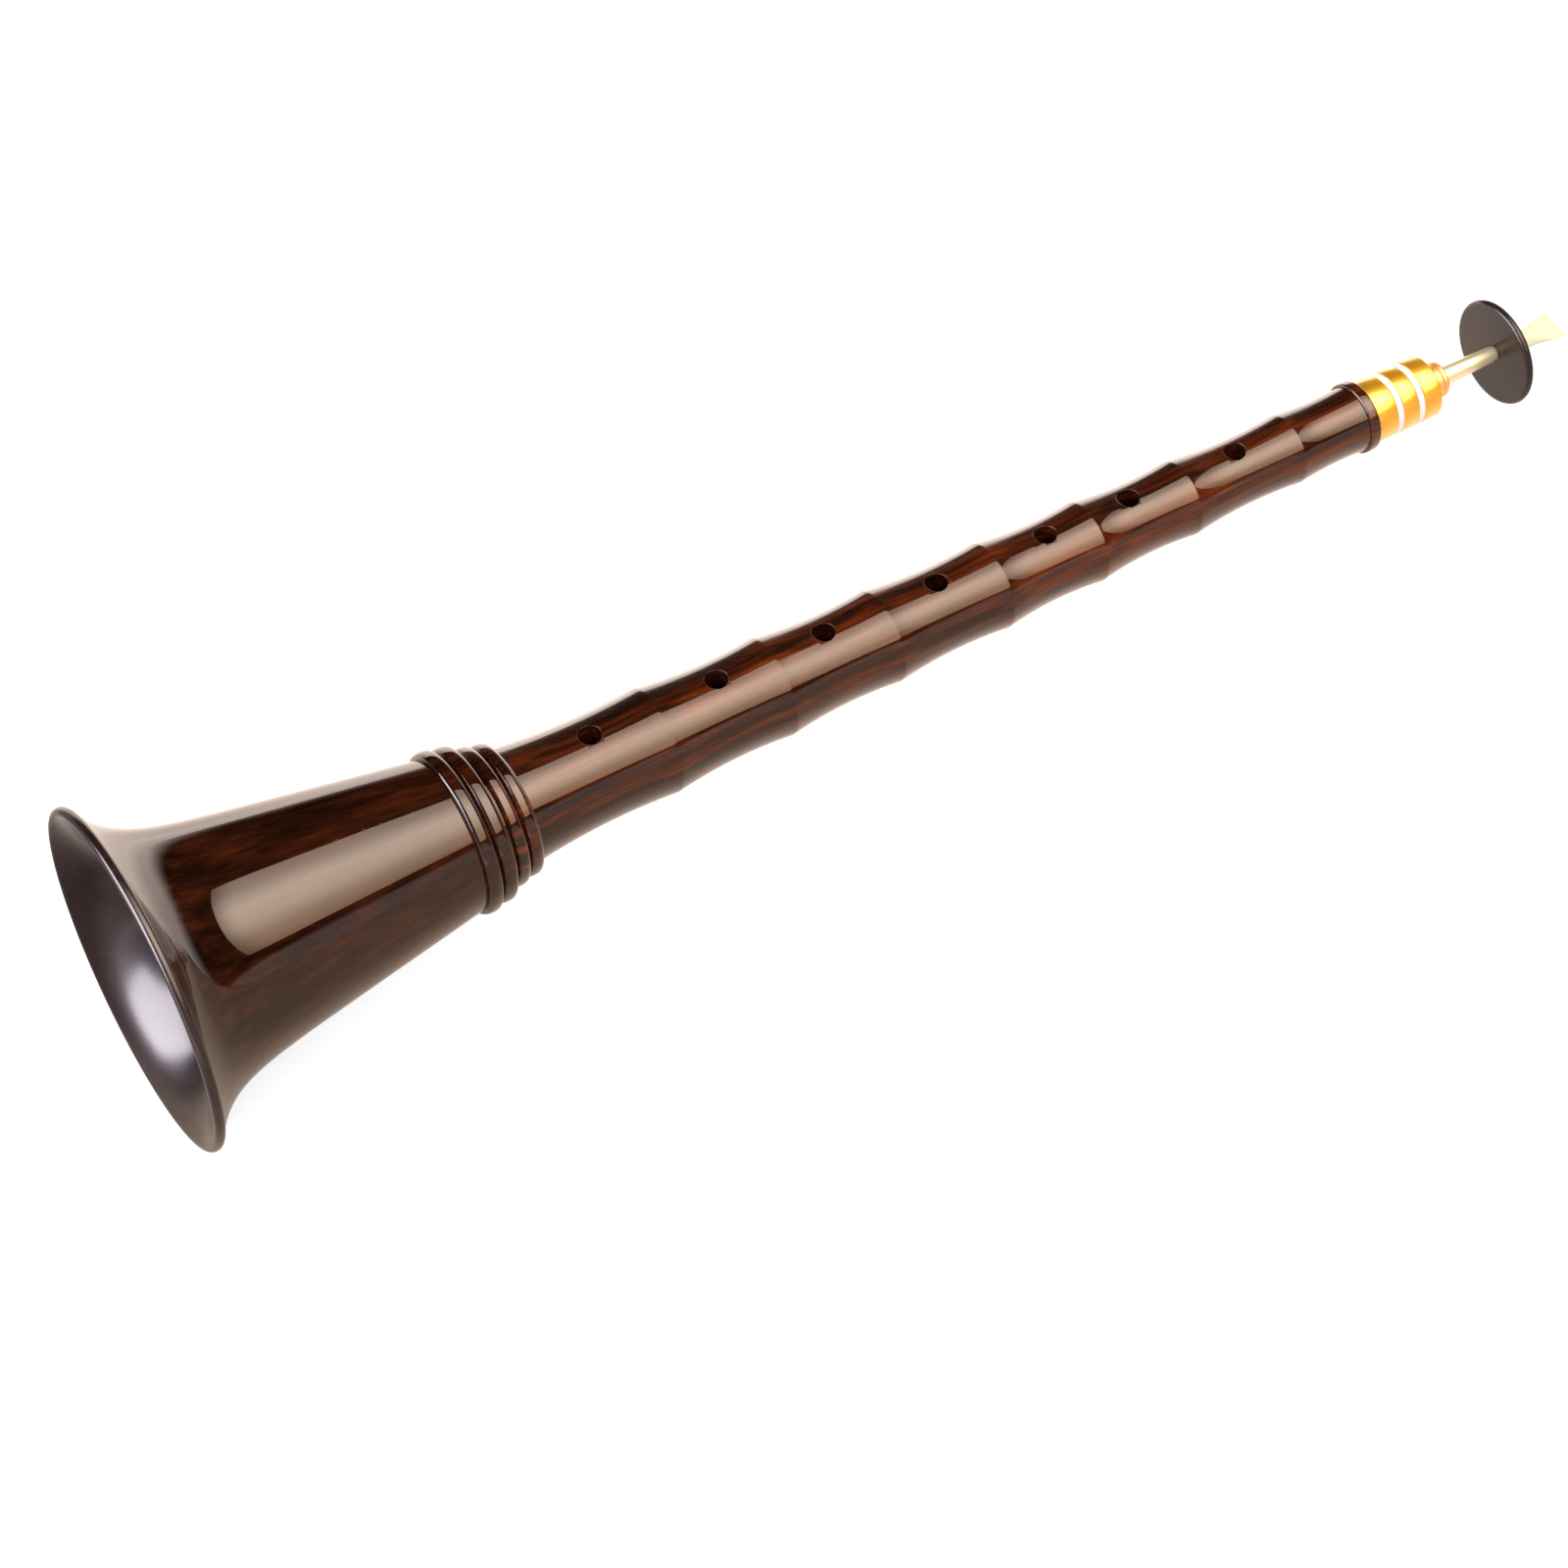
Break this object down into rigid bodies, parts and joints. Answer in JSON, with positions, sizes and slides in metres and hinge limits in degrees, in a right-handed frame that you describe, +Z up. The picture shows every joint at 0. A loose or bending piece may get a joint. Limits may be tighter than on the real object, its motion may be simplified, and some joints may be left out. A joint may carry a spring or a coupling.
{
  "type": "suona",
  "caption": "Wooden double-reed horn with a flared bell, a scalloped pipe with finger holes, a metal tuning collar, a sliding staple, a lip disc and a reed.",
  "frame": {"origin": "on the ground under the middle of the outline, with the instrument lying on its bell rim and on the edge of its lip disc", "axes": "+X from bell to reed, +Z up on the finger-hole side; the bore axis leans down 4.2 degrees towards the reed, because the disc is smaller than the bell"},
  "size_m": [0.4794, 0.0996, 0.0994],
  "materials": {
    "rosewood": "high gloss lacquer over dark streaked rosewood",
    "cork": "raw cork, waxed",
    "gold_aluminium": "turned and gold anodised",
    "white_nylon": "turned white nylon",
    "gold_brass": "turned, gold plated",
    "black_rubber": "moulded",
    "pale_brass": "polished pale brass",
    "dark_horn": "satin turned dark horn",
    "cane": "scraped cane",
    "copper_wire": "bare copper wire"
  },
  "bodies": {
    "pipe": {"pipe": "rosewood", "tenon_cork": "cork", "socket_sleeve": "gold_aluminium", "lower_washer": "white_nylon", "upper_washer": "white_nylon", "end_cap": "gold_aluminium"},
    "bell": {"bell": "rosewood"},
    "tuning_ring": {"tuning_ring": "gold_aluminium"},
    "core": {"core_ferrule": "gold_brass", "core_o_ring": "black_rubber", "staple_tube": "pale_brass"},
    "disc": {"disc": "dark_horn"},
    "reed": {"reed": "cane", "reed_wire": "copper_wire"}
  },
  "joints": [
    {"name": "bell_pull", "type": "slide", "parent": "pipe", "child": "bell", "axis": [-0.9973, 0, 0.0729], "range_m": [0, 0.026]},
    {"name": "tuning_turn", "type": "hinge", "parent": "pipe", "child": "tuning_ring", "pos_m": [0.17496, 0, 0.0198], "axis": [0.9973, 0, -0.0729], "range_deg": [-225, 180]},
    {"name": "core_slide", "type": "slide", "parent": "pipe", "child": "core", "axis": [0.9973, 0, -0.0729], "range_m": [-0.004, 0.005]},
    {"name": "disc_spin", "type": "hinge", "parent": "core", "child": "disc", "pos_m": [0.21555, 0, 0.01683], "axis": [0.9973, 0, -0.0729], "continuous": true},
    {"name": "reed_pull", "type": "slide", "parent": "core", "child": "reed", "axis": [0.9973, 0, -0.0729], "range_m": [0, 0.01]}
  ],
  "couplings": [
    {"joint": "tuning_turn", "follows": "core_slide", "rad_per_m": -785.39}
  ]
}
